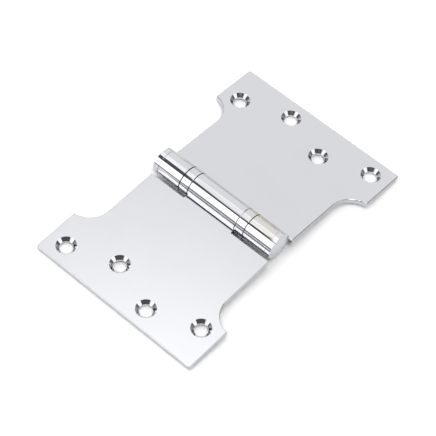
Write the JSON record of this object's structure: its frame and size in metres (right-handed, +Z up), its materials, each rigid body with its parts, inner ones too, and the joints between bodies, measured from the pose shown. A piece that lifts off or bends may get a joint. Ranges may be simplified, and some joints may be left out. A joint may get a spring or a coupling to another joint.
{
  "type": "parliament hinge",
  "caption": "Parliament hinge with T-shaped leaves, staggered countersunk screw holes and a knuckled barrel with ball bearing rings and button caps.",
  "frame": {"origin": "on the surface the hinge rests on, under the middle of the open hinge", "axes": "+X across the leaves towards the leaf with two knuckles, +Y along the pin towards its upper end, +Z up from the table, out of the countersunk faces"},
  "size_m": [0.1598, 0.1016, 0.015],
  "materials": {
    "leaf_chrome": "mirror polished",
    "cap_chrome": "mirror polished",
    "ring_chrome": "mirror polished",
    "pin_steel": "ground, oiled",
    "race_steel": "hardened, ground",
    "ball_steel": "lapped",
    "cage_brass": "stamped"
  },
  "bodies": {
    "right_leaf": {"right_leaf": "leaf_chrome", "hinge_pin": "pin_steel", "upper_cap": "cap_chrome", "upper_bearing_shell": "ring_chrome", "upper_outer_race": "race_steel", "lower_cap": "cap_chrome", "lower_bearing_shell": "ring_chrome", "lower_outer_race": "race_steel"},
    "left_leaf": {"left_leaf": "leaf_chrome", "upper_inner_race": "race_steel", "lower_inner_race": "race_steel"},
    "upper_cage": {"upper_ball_cage": "cage_brass", "upper_ball_1": "ball_steel", "upper_ball_2": "ball_steel", "upper_ball_3": "ball_steel", "upper_ball_4": "ball_steel", "upper_ball_5": "ball_steel", "upper_ball_6": "ball_steel"},
    "lower_cage": {"lower_ball_cage": "cage_brass", "lower_ball_1": "ball_steel", "lower_ball_2": "ball_steel", "lower_ball_3": "ball_steel", "lower_ball_4": "ball_steel", "lower_ball_5": "ball_steel", "lower_ball_6": "ball_steel"}
  },
  "joints": [
    {"name": "leaf_fold", "type": "hinge", "parent": "right_leaf", "child": "left_leaf", "pos_m": [0, 0, 0.0075], "axis": [0, 1, 0], "range_deg": [-84, 185.6]},
    {"name": "upper_cage_turn", "type": "hinge", "parent": "right_leaf", "child": "upper_cage", "pos_m": [0, 0, 0.0075], "axis": [0, 1, 0], "range_deg": [-42, 92.8]},
    {"name": "lower_cage_turn", "type": "hinge", "parent": "right_leaf", "child": "lower_cage", "pos_m": [0, 0, 0.0075], "axis": [0, 1, 0], "range_deg": [-42, 92.8]}
  ],
  "couplings": [
    {"joint": "upper_cage_turn", "follows": "leaf_fold", "ratio": 0.5},
    {"joint": "lower_cage_turn", "follows": "leaf_fold", "ratio": 0.5}
  ]
}
